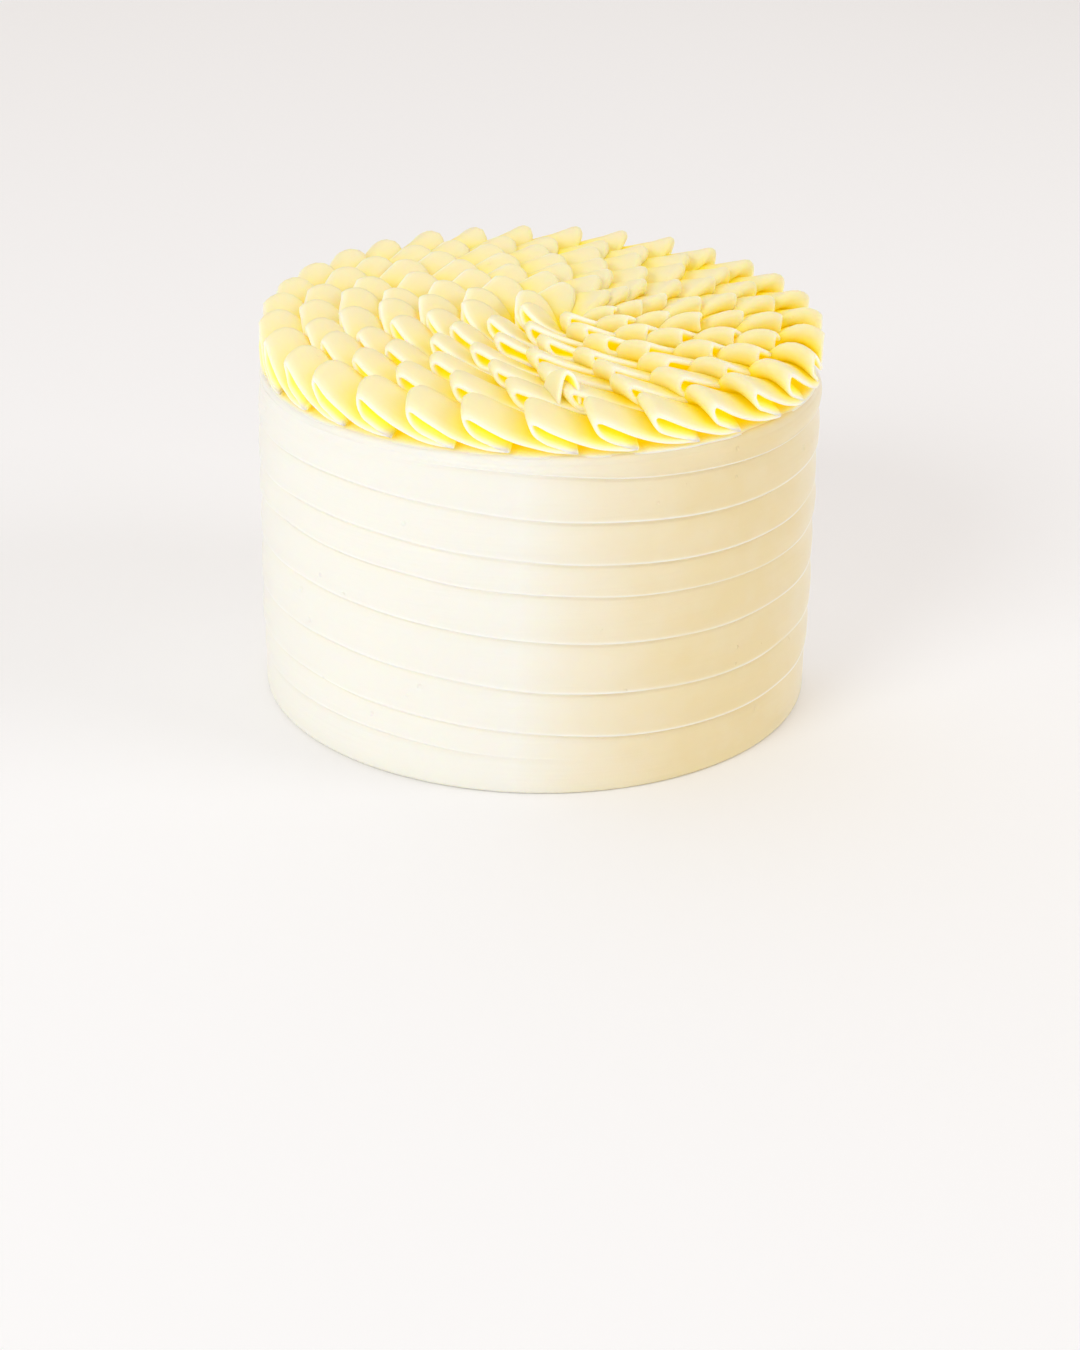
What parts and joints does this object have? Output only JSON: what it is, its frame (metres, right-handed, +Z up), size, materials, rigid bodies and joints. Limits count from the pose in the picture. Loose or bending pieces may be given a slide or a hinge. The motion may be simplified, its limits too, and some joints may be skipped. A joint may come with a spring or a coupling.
{
  "type": "lemon cake",
  "caption": "Tall round layer cake in smooth cream icing combed into bands, topped with rings of piped lemon-yellow ruffles.",
  "frame": {"origin": "middle of the underside, on the surface that the cake stands on", "axes": "+Z up; the front of the cake faces -Y and its right-hand side +X"},
  "size_m": [0.1658, 0.1658, 0.1152],
  "materials": {
    "cream_icing": "soft satin buttercream, smoothed with a spatula",
    "lemon_icing": "soft satin buttercream, piped"
  },
  "bodies": {
    "root": {"iced_cake": "cream_icing", "lemon_ruffles": "lemon_icing"}
  },
  "joints": []
}
